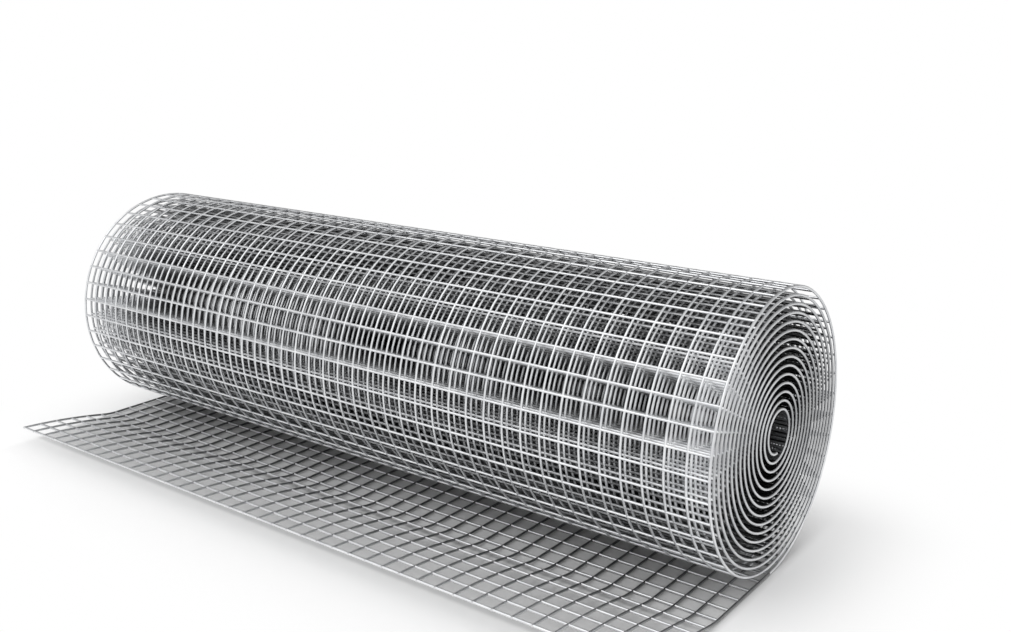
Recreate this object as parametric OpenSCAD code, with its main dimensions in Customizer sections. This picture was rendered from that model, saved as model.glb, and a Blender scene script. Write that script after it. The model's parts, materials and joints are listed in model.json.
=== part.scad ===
// Roll of welded wire mesh, lying on the floor with its free end unrolled in front of it.
// The roll's axis runs along X. The free end lies towards -Y, and the floor is at z = 0.

/* [Mesh] */
// Spacing of the wires, both ways
mesh_pitch = 25; // [20:1:50]
// Thickness of the wire
wire_d = 3; // [1.6:0.1:4]
// How far the two layers of wire are pressed into each other at each weld
weld_sink = 0.9; // [0.2:0.1:1.2]
// Number of meshes across the width of the roll
meshes_wide = 41; // [20:1:48]

/* [Roll] */
// Outer radius of the wound turns
roll_r = 161.2; // [120:0.2:240]
// Number of turns that show on the ends
turns = 15; // [4:1:20]
// Radial distance from one turn to the next
turn_pitch = 9.5; // [8.5:0.5:16]
// Radius of the open core
bore_r = 19; // [10:0.5:60]
// Depth of the open gap between two turns, seen from the end
gap_depth = 25; // [10:1:60]
// Angle over which the last turn lies round the roll before it reaches the floor
last_turn_angle = 42; // [20:1:80]

/* [Free end] */
// Length of the free end, from under the roll's axis to its last wire
tail_length = 273; // [220:1:400]
// Length of it that lies flat on the floor
flat_length = 120; // [60:1:140]
// Radius of the bend that lifts it off the floor
lift_r = 120; // [80:1:200]
// Steepest angle, where the two bends meet
rise_angle = 12; // [6:1:14]
// Radius of the bend that levels it again
level_r = 900; // [300:10:1000]
// Angle of the straight run out to the free edge
edge_angle = 4; // [1:0.5:6]
// Straight pieces that make up each bend
bend_steps = 6; // [3:1:10]

/* [Hidden] */
$fn = 96;

// Distance between the centres of the two layers of wire, and the thickness of the mesh
layer_step = wire_d - weld_sink;
mesh_t = wire_d + layer_step;
// Width between the centres of the outer wires
roll_width = meshes_wide * mesh_pitch;
// Radii of the two layers of the last turn, which lies on the wound turns
last_line_r = roll_r + wire_d / 2;
last_cross_r = last_line_r + layer_step;
// Heights of the line wires and of the roll's axis: the roll lies on its own free end
line_z = wire_d / 2 + layer_step;
axis_z = mesh_t + roll_r;

// Lengths along the free end at which its bends meet and end
bends_meet = flat_length + lift_r * rise_angle * PI / 180;
bends_end = bends_meet + level_r * (rise_angle - edge_angle) * PI / 180;

// Distance in front of the axis, height and slope of the free end at a length along it
function at(s) =
    s <= flat_length ? [s, 0, 0]
    : s <= bends_meet
        ? let (a = (s - flat_length) / lift_r * 180 / PI)
          [flat_length + lift_r * sin(a), lift_r * (1 - cos(a)), a]
    : s <= bends_end
        ? let (m = at(bends_meet), a = rise_angle - (s - bends_meet) / level_r * 180 / PI)
          [m[0] + level_r * (sin(rise_angle) - sin(a)),
           m[1] + level_r * (cos(a) - cos(rise_angle)), a]
    : let (e = at(bends_end), run = s - bends_end)
      [e[0] + run * cos(edge_angle), e[1] + run * sin(edge_angle), edge_angle];

// The cross wires are spaced back from the free edge, on under the roll
tail_wires = floor(tail_length / mesh_pitch);
first_wire = tail_length - tail_wires * mesh_pitch;

// Reach of the free edge in front of the axis, which centres the model's box on Y
edge = at(tail_length);
reach = edge[0] + layer_step * sin(edge[2]) + wire_d / 2 * (cos(edge[2]) + sin(edge[2]));
axis_y = (reach - roll_r) / 2;

// Puts what is drawn at the roll's axis in its place
module on_axis() {
    translate([0, axis_y, axis_z]) children();
}

// A straight cross wire over the whole width
module cross_wire() {
    cube([roll_width + wire_d, wire_d, wire_d], center = true);
}

// Cross wires of the free end, from one length along it up to another
module tail_cross_wires(from, to) {
    for (i = [0 : tail_wires])
        let (s = first_wire + i * mesh_pitch, p = at(s))
        if (s >= from && s < to)
            translate([0, axis_y - p[0], line_z + p[1]]) rotate([-p[2], 0, 0])
                translate([0, 0, -layer_step]) cross_wire();
}

// Line wires across the width, from one outline drawn as Y and Z
module line_wires() {
    for (i = [0 : meshes_wide])
        translate([i * mesh_pitch - roll_width / 2, 0, 0]) rotate([90, 0, 90])
            linear_extrude(wire_d, center = true) children();
}

// Line wires of the free end, through the given lengths along it
module tail_line_wires(lengths) {
    function side(h) = [
        for (s = lengths) let (p = at(s))
            [axis_y - p[0] + h * sin(p[2]), line_z + p[1] + h * cos(p[2])]
    ];
    under = side(-wire_d / 2);
    line_wires() polygon(concat(
        side(wire_d / 2), [for (i = [len(under) - 1 : -1 : 0]) under[i]]
    ));
}

// The wound turns as one turned piece, with the gaps between the turns open at both ends
module wound_roll() {
    full = roll_width + wire_d;
    gap = turn_pitch - mesh_t;
    color("silver") on_axis() rotate([0, 90, 0]) rotate_extrude() difference() {
        translate([bore_r, -full / 2]) square([roll_r - bore_r, full]);
        for (k = [1 : turns - 1], end = [-full / 2, full / 2 - gap_depth])
            translate([roll_r - k * turn_pitch, end]) square([gap, gap_depth]);
    }
}

// The last part of the outer turn, which lies round the roll and comes off under it
module last_turn() {
    step = mesh_pitch / last_cross_r * 180 / PI;
    first = (mesh_pitch - first_wire) / last_cross_r * 180 / PI;
    color("gainsboro") on_axis() {
        for (i = [0 : meshes_wide])
            translate([i * mesh_pitch - roll_width / 2, 0, 0]) rotate([90, 0, 90])
                rotate(-90) rotate_extrude(angle = last_turn_angle)
                    translate([roll_r, -wire_d / 2]) square(wire_d);
        for (a = [first : step : last_turn_angle])
            rotate([a, 0, 0]) translate([0, 0, -last_cross_r]) cross_wire();
    }
}

// The part of the free end that lies flat
module tail_flat() {
    color("gainsboro") {
        tail_line_wires([0, flat_length]);
        tail_cross_wires(0, flat_length);
    }
}

// The part of the free end that rises off the floor, out to its last wire
module tail_lip() {
    first_bend = (bends_meet - flat_length) / bend_steps;
    second_bend = (min(bends_end, tail_length) - bends_meet) / bend_steps;
    color("gainsboro") {
        tail_line_wires(concat(
            [for (i = [0 : bend_steps]) flat_length + i * first_bend],
            [for (i = [1 : bend_steps]) bends_meet + i * second_bend],
            [tail_length + wire_d / 2]
        ));
        tail_cross_wires(flat_length, tail_length + 1);
    }
}

wound_roll();
last_turn();
tail_flat();
tail_lip();
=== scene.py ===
"""A roll of galvanised welded wire mesh with its free end unrolled, on a plain pale floor.

Everything is in metres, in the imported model's frame: the roll's axis runs along X, the free end
lies towards -Y, and the floor is at z = 0. The mesh has line wires, which go round the roll, and
cross wires, which run along it. Places on the roll are counted in turns from the sheet's tip in
the core, columns are the line wires counted along X, and places on the free end are lengths from
under the axis.
"""

import json
import math

import bpy
import numpy as np
from mathutils import Matrix, Vector


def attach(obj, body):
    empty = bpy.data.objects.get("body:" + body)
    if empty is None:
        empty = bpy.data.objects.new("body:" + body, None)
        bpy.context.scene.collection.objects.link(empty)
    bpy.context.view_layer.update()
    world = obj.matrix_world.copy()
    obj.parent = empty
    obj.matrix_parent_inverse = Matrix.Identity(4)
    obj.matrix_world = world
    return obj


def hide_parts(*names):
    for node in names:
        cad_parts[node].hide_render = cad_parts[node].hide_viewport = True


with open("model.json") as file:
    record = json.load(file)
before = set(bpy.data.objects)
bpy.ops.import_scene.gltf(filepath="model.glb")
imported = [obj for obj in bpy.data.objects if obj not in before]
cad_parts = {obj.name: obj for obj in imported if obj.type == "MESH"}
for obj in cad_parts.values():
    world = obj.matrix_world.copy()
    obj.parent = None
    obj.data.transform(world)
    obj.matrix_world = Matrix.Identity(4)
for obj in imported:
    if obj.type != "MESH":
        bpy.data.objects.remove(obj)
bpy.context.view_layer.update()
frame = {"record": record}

# The mesh, as in the source
MESH_PITCH = 0.025
WIRE_R = 0.0015
LAYER_STEP = 0.0021
MESHES_WIDE = 41
HALF_WIDTH = MESHES_WIDE * MESH_PITCH / 2
EVERY_COLUMN = range(MESHES_WIDE + 1)
INNER_COLUMNS = range(1, MESHES_WIDE)
END_COLUMNS = (0, MESHES_WIDE)
# Height of the line wires where the source's free end lies flat
LINE_Z = WIRE_R + LAYER_STEP
# The wires cross in one plane, as in the photograph. It lies in the middle of the source's two
# layers, this far from its line wires on the side away from the axis
MIDDLE = LAYER_STEP / 2
# Sides of the wires that show best
SIDES = 10

# The roll's axis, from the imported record
core_bore = next(mount for mount in frame["record"]["mounts"] if mount["name"] == "core_bore")
AXIS_Y, AXIS_Z = core_bore["pos_m"][1:]

# The wound turns are one spiral of line wires, from the sheet's tip to the floor
TURNS = 15
CORE_R = 0.02082
TURN_PITCH = 0.009459
# Degrees of the spiral's end, which has a node of its own
LAST_TURN_ANGLE = 42.0
LEAVES_ROLL = TURNS - LAST_TURN_ANGLE / 360
# The turns from here outwards show more, so their wires are rounder
OUTER_FROM = 12

# The cross wires of one turn lie behind those of the next, and one that shows on the front lies
# at this turn
SEEN_CROSS_WIRE = 14.2995
CROSS_WIRES_PER_TURN = 40
CROSS_STEP = 1 / CROSS_WIRES_PER_TURN
# In each of the core's turns they are shifted by another share of their step, so that no light
# shows straight through it
CORE_SHIFTS = (0.5, 0.75, 0.25)
CORE_TURNS = len(CORE_SHIFTS)

# The free end: flat, two bends, and a straight run to its last wire
TAIL_LENGTH = 0.273
FLAT_LENGTH = 0.120
LIFT_R = 0.120
LEVEL_R = 0.900
RISE_ANGLE = math.radians(12)
EDGE_ANGLE = math.radians(4)
BENDS_MEET = FLAT_LENGTH + LIFT_R * RISE_ANGLE
BENDS_END = BENDS_MEET + LEVEL_R * (RISE_ANGLE - EDGE_ANGLE)
# Straight pieces that make up both bends
BEND_STEPS = 16
TAIL_EDGE_Y = AXIS_Y - TAIL_LENGTH

# Brightness of the zinc coat under the painted shade that is stored on the wires' points
PAINTED_SHADE_LEVELS = ((0, 1.0), (1, 0.97), (2, 0.88), (3, 0.75), (4, 0.57), (5, 0.43), (6, 0.34), (8, 0.24),
           (13, 0.16))
# The painted shade on an inner line wire is the number of turns over it, where light falls squarely
# into the roll: at this many radians above the middle of its front, and opposite
SQUARELY_ABOVE = 0.3
# A quarter turn from there it is this many times that
TOP_SHADE_TIMES = 2.8
# Squarely, the painted shade also lifts for wires up to this many meshes from each end, where light
# reaches them, but not in the core
LIT_MESHES = 3
# The innermost turn gets only this much painted shade, as it is lit through the open core
CORE_SHADE = 1.3
# Cross wires get this many times the painted shade of line wires in the same place
CROSS_SHADE_TIMES = 2.2
# Painted reflection: the end wires are darkened as if mirroring the dark gaps between turns, most
# where they stand upright
FRONT_UPRIGHT_DARK_REFLECTION = 3.0
BACK_UPRIGHT_DARK_REFLECTION = 4.2
# Painted reflection: the free end's wires are darkened as if mirroring the dark roll. Its line wires
# get less of it towards the free edge, and its last cross wire none
FLAT_LINE_DARK_REFLECTION = 6.6
EDGE_LINE_DARK_REFLECTION = 2.0
TAIL_CROSS_DARK_REFLECTION = 1.7

# The floor's half width, its level, and the share of that in the painted shade under the free end
FLOOR_REACH = 14.0
FLOOR_LEVEL = 0.95
TAIL_SHADE = 0.65
# How deep the painted shade is, by the distance outwards past the free end's sides, and by the
# distance backwards from its edge and from the axis
SHADE_FROM_SIDES = ((-0.1, 1), (-0.004, 0.8), (0.012, 0))
SHADE_FROM_EDGE = ((-0.06, 0), (0.018, 0.3), (0.026, 1))
SHADE_FROM_AXIS = ((0, 1), (0.2, 0))
# Distance from the roll and its free end over which the floor fades to white
FADE_WIDTH = 0.18
# The wires' gloss shows the far floor at these levels by Y, in front of the roll and behind it
GLOSSY_FLOOR = ((-0.4, 0.9), (0.6, 0.78))
# It shows the room at these levels by the cosine from its bright side
BRIGHT_SIDE = (0.57, -0.81, -0.1)
GLOSS = ((-1, 0.25), (-0.6, 0.35), (-0.2, 0.6), (0.2, 0.9), (1, 0.96))
# Strength of the room's light on the object, and the lamp, with its power in watts
ROOM_LIGHT = 0.95
KEY_PLACE = (-0.9, -1.7, 3.2)
KEY_TARGET = (0, 0, 0.1)
KEY_SIZE = 4.0
KEY_POWER = 35

# The camera, found from the roll's two ends and its wires in the photograph. Its angles are in
# radians, and its place is from the middle of the roll's axis
FRAME_W, FRAME_H = 1011, 632
FOCAL_PX = 1134.5
CENTRE_PX = (505.9, 298.0)
YAW, PITCH, ROLL = 0.6468, -0.2505, -0.0019
EYE = (0.9653, -1.0792, 0.4402)
SENSOR_MM = 36
FARTHEST_SEEN = 100


def spiral_at(turn):
    """Y, Z and the normal towards the axis of the source's line wires, at a turn."""
    radius = CORE_R + TURN_PITCH * turn
    angle = 2 * math.pi * turn
    inward = (math.sin(angle), math.cos(angle))
    return AXIS_Y - radius * inward[0], AXIS_Z - radius * inward[1], inward


def tail_at(length):
    """The same at a length along the free end, where the normal points up."""
    if length <= FLAT_LENGTH:
        run, rise, slope = length, 0.0, 0.0
    elif length <= BENDS_MEET:
        slope = (length - FLAT_LENGTH) / LIFT_R
        run = FLAT_LENGTH + LIFT_R * math.sin(slope)
        rise = LIFT_R * (1 - math.cos(slope))
    else:
        slope = max(RISE_ANGLE - (length - BENDS_MEET) / LEVEL_R, EDGE_ANGLE)
        straight = max(length - BENDS_END, 0.0)
        run = FLAT_LENGTH + (LIFT_R + LEVEL_R) * math.sin(RISE_ANGLE)
        run += straight * math.cos(slope) - LEVEL_R * math.sin(slope)
        rise = LIFT_R - (LIFT_R + LEVEL_R) * math.cos(RISE_ANGLE)
        rise += straight * math.sin(slope) + LEVEL_R * math.cos(slope)
    return AXIS_Y - run, LINE_Z + rise, (math.sin(slope), math.cos(slope))


def column_x(column):
    return (column - MESHES_WIDE / 2) * MESH_PITCH


class Wires:
    """Collects tubes as arrays and makes one mesh object of them."""

    def __init__(self):
        self.verts, self.dullness, self.quads, self.caps, self.count = [], [], [], [], 0

    def tube(self, rings, dullness):
        """One wire. rings holds its sections as (rings, sides, 3), with a depth of painted shade for
        each.
        """
        length, sides = rings.shape[:2]
        grid = self.count + np.arange(length * sides).reshape(length, sides)
        beside = np.roll(grid, -1, axis=1)
        self.quads.append(
            np.stack([grid[:-1], beside[:-1], beside[1:], grid[1:]], axis=-1).reshape(-1, 4)
        )
        self.verts.append(rings.reshape(-1, 3))
        self.dullness.append(np.repeat(dullness, sides))
        self.count += length * sides
        # A cap at each end. The first faces backwards along the wire, so its order is turned round
        for end, order in ((0, -1), (-1, 1)):
            self.verts.append(rings[end])
            self.dullness.append(np.full(sides, dullness[end]))
            self.caps.append((self.count + np.arange(sides))[::order])
            self.count += sides

    def build(self, name, material):
        """The mesh object. The wires are smooth along their sides and flat on their ends."""
        quads = np.concatenate(self.quads)
        loops = np.concatenate([quads.ravel()] + self.caps)
        sizes = np.concatenate([np.full(len(quads), 4), [len(cap) for cap in self.caps]])
        starts = np.concatenate([[0], np.cumsum(sizes)[:-1]])
        smooth = np.arange(len(sizes)) < len(quads)
        mesh = bpy.data.meshes.new(name)
        mesh.vertices.add(self.count)
        mesh.vertices.foreach_set("co", np.concatenate(self.verts).astype(np.float32).ravel())
        mesh.loops.add(len(loops))
        mesh.loops.foreach_set("vertex_index", loops.astype(np.int32))
        mesh.polygons.add(len(sizes))
        mesh.polygons.foreach_set("loop_start", starts.astype(np.int32))
        mesh.polygons.foreach_set("use_smooth", smooth)
        # The depth of painted shade at each point, which the zinc material reads
        stored = mesh.attributes.new("dullness", "FLOAT", "POINT")
        stored.data.foreach_set("value", np.concatenate(self.dullness).astype(np.float32))
        mesh.update(calc_edges=True)
        mesh.validate()
        mesh.materials.append(material)
        obj = bpy.data.objects.new(name, mesh)
        bpy.context.scene.collection.objects.link(obj)
        return obj


def section_angles(sides):
    return (np.arange(sides) + 0.5) * 2 * math.pi / sides


def line_wires(wires, path, columns, sides, dullness):
    """Adds a line wire along the path in each column."""
    angles = section_angles(sides)
    place = np.array([(y, z) for y, z, normal in path])
    normal = np.array([normal for y, z, normal in path])
    y = place[:, :1] + (WIRE_R * np.cos(angles) - MIDDLE) * normal[:, :1]
    z = place[:, 1:] + (WIRE_R * np.cos(angles) - MIDDLE) * normal[:, 1:]
    for column in columns:
        x = column_x(column) + WIRE_R * np.sin(angles)
        wires.tube(np.stack(np.broadcast_arrays(x, y, z), axis=-1), dullness)


def cross_wire(wires, place, columns=END_COLUMNS, dullness=0):
    """Adds a cross wire from the first to the last of the columns, with a depth of painted shade at
    each.
    """
    angles = section_angles(SIDES)
    y, z, normal = place
    x = column_x(np.array(columns))[:, None]
    y = y - MIDDLE * normal[0] + WIRE_R * np.cos(angles)
    z = z - MIDDLE * normal[1] + WIRE_R * np.sin(angles)
    rings = np.stack(np.broadcast_arrays(x, y, z), axis=-1)
    wires.tube(rings, np.broadcast_to(dullness, len(columns)))


def turns_over(turn):
    """Number of turns that lie over a place on the roll."""
    return np.ceil(np.clip(TURNS - 1 - turn, 0, None))


def inner_painted_shade(turn, column):
    """Painted shade on a line wire between the ends, deeper under more turns and where less light
    falls in.
    """
    squarely = np.sin(2 * math.pi * turn - SQUARELY_ABOVE) ** 2
    depth = np.clip((np.minimum(column, MESHES_WIDE - column) - 1) / LIT_MESHES, 0, 1)
    lit = np.where(turn < CORE_TURNS, 0, squarely * (1 - depth))
    shade_times = TOP_SHADE_TIMES - (TOP_SHADE_TIMES - 1) * squarely
    return np.where(turn < 1, CORE_SHADE, turns_over(turn) * shade_times * (1 - lit))


def end_painted_reflection(turn):
    """Painted reflection of the dark gaps on an end wire. The outermost turn has none."""
    forward = np.sin(2 * math.pi * turn)
    upright = np.where(forward > 0, FRONT_UPRIGHT_DARK_REFLECTION * forward, -BACK_UPRIGHT_DARK_REFLECTION * forward)
    return upright * (turns_over(turn) > 0)


def wind(wires, start, stop, columns, rings_per_turn, sides):
    """Adds line wires from one turn to another."""
    turns = np.linspace(start, stop, max(2, round((stop - start) * rings_per_turn)) + 1)
    path = [spiral_at(turn) for turn in turns]
    for column in columns:
        inner = column in INNER_COLUMNS
        dullness = inner_painted_shade(turns, column) if inner else end_painted_reflection(turns)
        line_wires(wires, path, [column], sides, dullness)


def turns_of_cross_wires():
    """Where the cross wires lie, from the free end back to the tip."""
    first = SEEN_CROSS_WIRE + CROSS_STEP * math.floor((TURNS - SEEN_CROSS_WIRE) / CROSS_STEP)
    turns = [first - i * CROSS_STEP for i in range(int(first / CROSS_STEP) + 1)]
    shifts = [CORE_SHIFTS[int(turn)] if turn < CORE_TURNS else 0 for turn in turns]
    return [turn + CROSS_STEP * shift for turn, shift in zip(turns, shifts)]


def wound_roll(cross_turns, zinc_wire):
    """The turns up to the last part, in several pieces."""
    pieces = []
    half = len(INNER_COLUMNS) // 2
    for name, start, stop, columns, rings_per_turn, sides in (
        ("wound_inner_turns_a", 0, OUTER_FROM, INNER_COLUMNS[:half], 36, 5),
        ("wound_inner_turns_b", 0, OUTER_FROM, INNER_COLUMNS[half:], 36, 5),
        ("wound_outer_turns", OUTER_FROM, LEAVES_ROLL, INNER_COLUMNS, 64, 8),
        ("wound_end_wires", 0, LEAVES_ROLL, END_COLUMNS, 80, SIDES),
    ):
        wires = Wires()
        wind(wires, start, stop, columns, rings_per_turn, sides)
        pieces.append(wires.build(name, zinc_wire))

    wires = Wires()
    # The painted shade on cross wires changes near both ends
    near_end = np.array([0, 1, 1 + LIT_MESHES])
    columns = np.concatenate([near_end, MESHES_WIDE - near_end[::-1]])
    for turn in cross_turns:
        if turn < LEAVES_ROLL:
            dullness = CROSS_SHADE_TIMES * inner_painted_shade(turn, columns)
            cross_wire(wires, spiral_at(turn), columns, dullness)
    pieces.append(wires.build("wound_cross_wires", zinc_wire))
    return pieces


def last_turn(cross_turns, zinc_wire):
    """The last part of the outer turn, which lies round the roll and comes off under it."""
    wires = Wires()
    wind(wires, LEAVES_ROLL, TURNS, EVERY_COLUMN, 64, SIDES)
    for turn in cross_turns:
        if turn >= LEAVES_ROLL:
            cross_wire(wires, spiral_at(turn))
    return wires.build("last_turn_wires", zinc_wire)


def free_end(name, lengths, cross_lengths, zinc_wire):
    """Part of the free end. Its line wires go through the lengths, and its cross wires lie at the
    cross lengths."""
    wires = Wires()
    # Painted reflection of the dark roll, less towards the free edge
    dullness = np.interp(lengths, [FLAT_LENGTH, TAIL_LENGTH], [FLAT_LINE_DARK_REFLECTION, EDGE_LINE_DARK_REFLECTION])
    line_wires(wires, [tail_at(length) for length in lengths], EVERY_COLUMN, SIDES, dullness)
    for length in cross_lengths:
        dullness = 0 if length == TAIL_LENGTH else TAIL_CROSS_DARK_REFLECTION
        cross_wire(wires, tail_at(length), dullness=dullness)
    return wires.build(name, zinc_wire)


def feed(tree, node, inputs):
    """Sets inputs of a node, by name or number, to plain values or links other nodes' outputs."""
    for key, value in inputs.items():
        if isinstance(value, bpy.types.NodeSocket):
            tree.links.new(value, node.inputs[key])
        else:
            node.inputs[key].default_value = value


def add(tree, kind, inputs, **settings):
    """A new shader node with these settings and inputs."""
    node = tree.nodes.new("ShaderNode" + kind)
    for name, value in settings.items():
        setattr(node, name, value)
    feed(tree, node, inputs)
    return node


def calculate(tree, kind, operation, *values):
    """The outputs of a Math or VectorMath node for these values."""
    return add(tree, kind, dict(enumerate(values)), operation=operation).outputs


def mix(tree, data_type, factor, first, second, blend_type="MIX"):
    """Goes from the first to the second by the factor."""
    inputs = {"Factor": factor, "A": first, "B": second}
    node = add(tree, "Mix", inputs, data_type=data_type, blend_type=blend_type)
    return node.outputs["Result"]


def grey(level):
    return (level, level, level, 1)


def ramp(tree, value, stops, curve_type="EASE"):
    """A value that follows stops of (input, output)."""
    low, high = stops[0][0], stops[-1][0]
    scale = add(tree, "MapRange", {"Value": value, "From Min": low, "From Max": high})
    curve = add(tree, "ValToRGB", {"Fac": scale.outputs["Result"]})
    curve.color_ramp.interpolation = curve_type
    elements = curve.color_ramp.elements
    elements[0].color = grey(stops[0][1])
    elements[1].color = grey(stops[-1][1])
    for place, level in stops[1:-1]:
        elements.new((place - low) / (high - low)).color = grey(level)
    return curve.outputs["Color"]


def noise(tree, where, scale, detail):
    node = add(tree, "TexNoise", {"Vector": where, "Scale": scale, "Detail": detail})
    return node.outputs["Fac"]


def zinc(name):
    """Bright zinc on drawn wire: patches of lighter and duller coat, and a fine grain."""
    mat = bpy.data.materials.new(name)
    mat.use_nodes = True
    tree = mat.node_tree
    where = add(tree, "TexCoord", {}).outputs["Object"]

    patches = noise(tree, where, scale=38, detail=4)
    tone = add(tree, "ValToRGB", {"Fac": patches})
    dark, light = tone.color_ramp.elements
    dark.position, dark.color = 0.3, (0.74, 0.75, 0.77, 1)
    light.position, light.color = 0.7, (0.95, 0.96, 0.97, 1)
    # Painted shade: the coat darkens by the depth stored on each wire's points
    dullness = add(tree, "Attribute", {}, attribute_name="dullness").outputs["Fac"]
    brightness = ramp(tree, dullness, PAINTED_SHADE_LEVELS, "LINEAR")

    grain = noise(tree, where, scale=900, detail=3)
    rough = add(tree, "MapRange", {"Value": grain, "To Min": 0.24, "To Max": 0.42})
    bump = add(tree, "Bump", {"Height": grain, "Strength": 0.12, "Distance": 0.0002})

    feed(tree, tree.nodes["Principled BSDF"], {
        "Metallic": 1.0,
        "Base Color": mix(tree, "RGBA", 1, tone.outputs["Color"], brightness, "MULTIPLY"),
        "Roughness": rough.outputs["Result"],
        "Normal": bump.outputs["Normal"],
    })
    return mat


def shade_under_tail(tree, x, y):
    """How deep in the soft shade painted under the free end a place on the floor is, from 0 to 1."""
    from_sides = [(HALF_WIDTH + past, depth) for past, depth in SHADE_FROM_SIDES]
    from_edge = [(TAIL_EDGE_Y + past, depth) for past, depth in SHADE_FROM_EDGE]
    from_axis = [(AXIS_Y + past, depth) for past, depth in SHADE_FROM_AXIS]
    by_x = ramp(tree, calculate(tree, "Math", "ABSOLUTE", x)["Value"], from_sides)
    by_y = ramp(tree, y, from_edge + from_axis)
    return calculate(tree, "Math", "MULTIPLY", by_x, by_y)["Value"]


def away_from_roll(tree, where):
    """How far from the roll and its free end a place on the floor is, from 0 to 1."""
    corner = (HALF_WIDTH, -TAIL_EDGE_Y, 0)
    from_middle = calculate(tree, "VectorMath", "ABSOLUTE", where)["Vector"]
    beyond = calculate(tree, "VectorMath", "SUBTRACT", from_middle, corner)["Vector"]
    gap = calculate(tree, "VectorMath", "MAXIMUM", beyond, (0, 0, 0))["Vector"]
    distance = calculate(tree, "VectorMath", "LENGTH", gap)["Value"]
    return ramp(tree, distance, ((0, 0), (FADE_WIDTH, 1)))


def pale(name):
    """A pale surface with a soft shade painted under the free end, which fades to white away from
    the roll.
    """
    mat = bpy.data.materials.new(name)
    mat.use_nodes = True
    tree = mat.node_tree
    tree.nodes.remove(tree.nodes["Principled BSDF"])
    ray = add(tree, "LightPath", {}).outputs
    where = add(tree, "NewGeometry", {}).outputs["Position"]
    x, y = add(tree, "SeparateXYZ", {"Vector": where}).outputs[:2]

    # Painted shade under the free end darkens the floor's colour
    shade = shade_under_tail(tree, x, y)
    colour = mix(tree, "RGBA", shade, grey(FLOOR_LEVEL), grey(FLOOR_LEVEL * TAIL_SHADE))
    plain = add(tree, "BsdfDiffuse", {"Color": colour}).outputs["BSDF"]
    level = mix(tree, "FLOAT", ray["Is Glossy Ray"], 1.0, ramp(tree, y, GLOSSY_FLOOR))
    white = add(tree, "Emission", {"Strength": level}).outputs["Emission"]

    seen = calculate(tree, "Math", "MAXIMUM", ray["Is Camera Ray"], ray["Is Glossy Ray"])["Value"]
    faded = calculate(tree, "Math", "MULTIPLY", seen, away_from_roll(tree, where))["Value"]
    both = add(tree, "MixShader", {0: faded, 1: plain, 2: white}).outputs["Shader"]
    feed(tree, tree.nodes["Material Output"], {"Surface": both})
    return mat


def pale_floor():
    reach = FLOOR_REACH
    corners = [(-reach, -reach, 0), (reach, -reach, 0), (reach, reach, 0), (-reach, reach, 0)]
    mesh = bpy.data.meshes.new("floor")
    mesh.from_pydata(corners, [], [(0, 1, 2, 3)])
    mesh.materials.append(pale("floor"))
    obj = bpy.data.objects.new("floor", mesh)
    bpy.context.scene.collection.objects.link(obj)


def white_world():
    """White to the camera, a little less as a light, and in the wires' gloss bright in front and
    on the right, and duller overhead and behind."""
    world = bpy.data.worlds.new("world")
    bpy.context.scene.world = world
    world.use_nodes = True
    tree = world.node_tree
    ray = add(tree, "LightPath", {}).outputs
    direction = add(tree, "TexCoord", {}).outputs["Generated"]
    facing = calculate(tree, "VectorMath", "DOT_PRODUCT", direction, BRIGHT_SIDE)["Value"]
    strength = mix(tree, "FLOAT", ray["Is Glossy Ray"], ROOM_LIGHT, ramp(tree, facing, GLOSS))
    strength = mix(tree, "FLOAT", ray["Is Camera Ray"], strength, 1.0)
    feed(tree, tree.nodes["Background"], {"Color": grey(1), "Strength": strength})


def key_light():
    """A large soft lamp over the front."""
    light = bpy.data.lights.new("key", "AREA")
    light.shape = "DISK"
    light.size = KEY_SIZE
    light.energy = KEY_POWER
    obj = bpy.data.objects.new("key", light)
    obj.location = KEY_PLACE
    aim = Vector(KEY_TARGET) - Vector(KEY_PLACE)
    obj.rotation_euler = aim.to_track_quat("-Z", "Y").to_euler()
    bpy.context.scene.collection.objects.link(obj)


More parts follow.
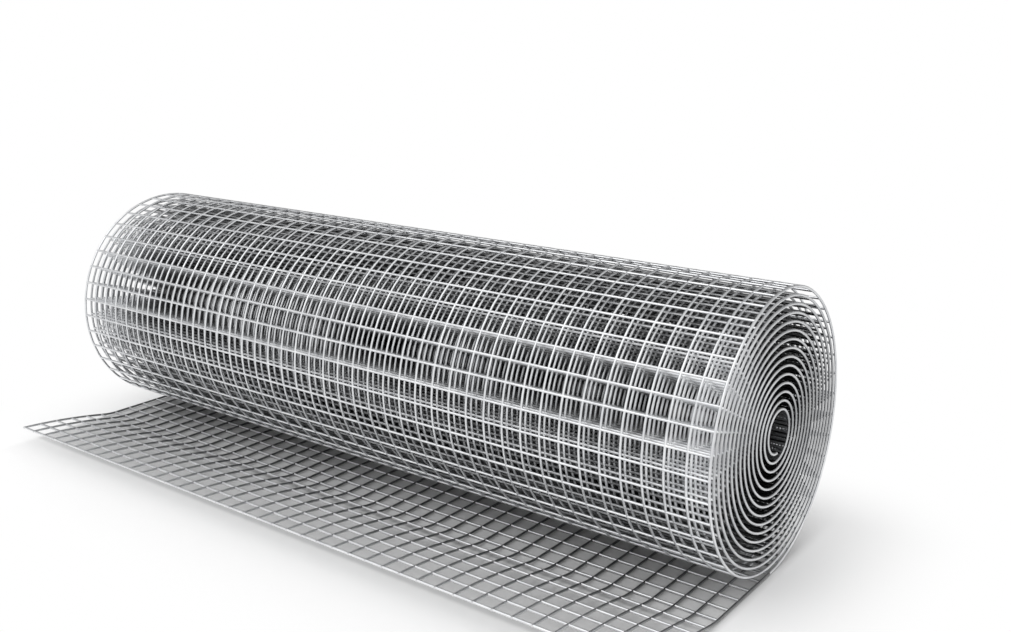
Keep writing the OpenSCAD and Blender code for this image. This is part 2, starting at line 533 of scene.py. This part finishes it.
def photo_camera():
    """The photograph's camera. Its shift puts the middle of its view where the photograph has it."""
    forward = Vector((
        -math.sin(YAW) * math.cos(PITCH), math.cos(YAW) * math.cos(PITCH), math.sin(PITCH),
    ))
    level = Vector((math.cos(YAW), math.sin(YAW), 0))
    upright = level.cross(forward)
    right = math.cos(ROLL) * level + math.sin(ROLL) * upright
    up = math.cos(ROLL) * upright - math.sin(ROLL) * level
    camera = bpy.data.cameras.new("camera")
    camera.sensor_width = SENSOR_MM
    camera.lens = FOCAL_PX * SENSOR_MM / FRAME_W
    camera.shift_x = (FRAME_W / 2 - CENTRE_PX[0]) / FRAME_W
    camera.shift_y = (CENTRE_PX[1] - FRAME_H / 2) / FRAME_W
    camera.clip_end = FARTHEST_SEEN
    eye = bpy.data.objects.new("camera", camera)
    eye.matrix_world = Matrix((
        (right.x, up.x, -forward.x, EYE[0]),
        (right.y, up.y, -forward.y, AXIS_Y + EYE[1]),
        (right.z, up.z, -forward.z, AXIS_Z + EYE[2]),
        (0, 0, 0, 1),
    ))
    bpy.context.scene.collection.objects.link(eye)
    bpy.context.scene.camera = eye


zinc_wire = zinc("zinc_wire")
cross_turns = turns_of_cross_wires()
pieces = [(piece, "wound_roll") for piece in wound_roll(cross_turns, zinc_wire)]
pieces.append((last_turn(cross_turns, zinc_wire), "last_turn"))

# The free end's cross wires are spaced back from its last wire
cross_lengths = [TAIL_LENGTH - i * MESH_PITCH for i in range(int(TAIL_LENGTH / MESH_PITCH) + 1)]
flat_cross = [length for length in cross_lengths if length < FLAT_LENGTH]
lip_cross = [length for length in cross_lengths if length >= FLAT_LENGTH]
flat = [0.0, FLAT_LENGTH]
lip = [*np.linspace(FLAT_LENGTH, BENDS_END, BEND_STEPS + 1), TAIL_LENGTH + WIRE_R]
pieces.append((free_end("tail_flat_wires", flat, flat_cross, zinc_wire), "tail_flat"))
pieces.append((free_end("tail_lip_wires", lip, lip_cross, zinc_wire), "tail_lip"))

for piece, node in pieces:
    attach(piece, "root")
    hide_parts(node)

pale_floor()
white_world()
key_light()
photo_camera()
bpy.context.scene.view_settings.view_transform = "Standard"
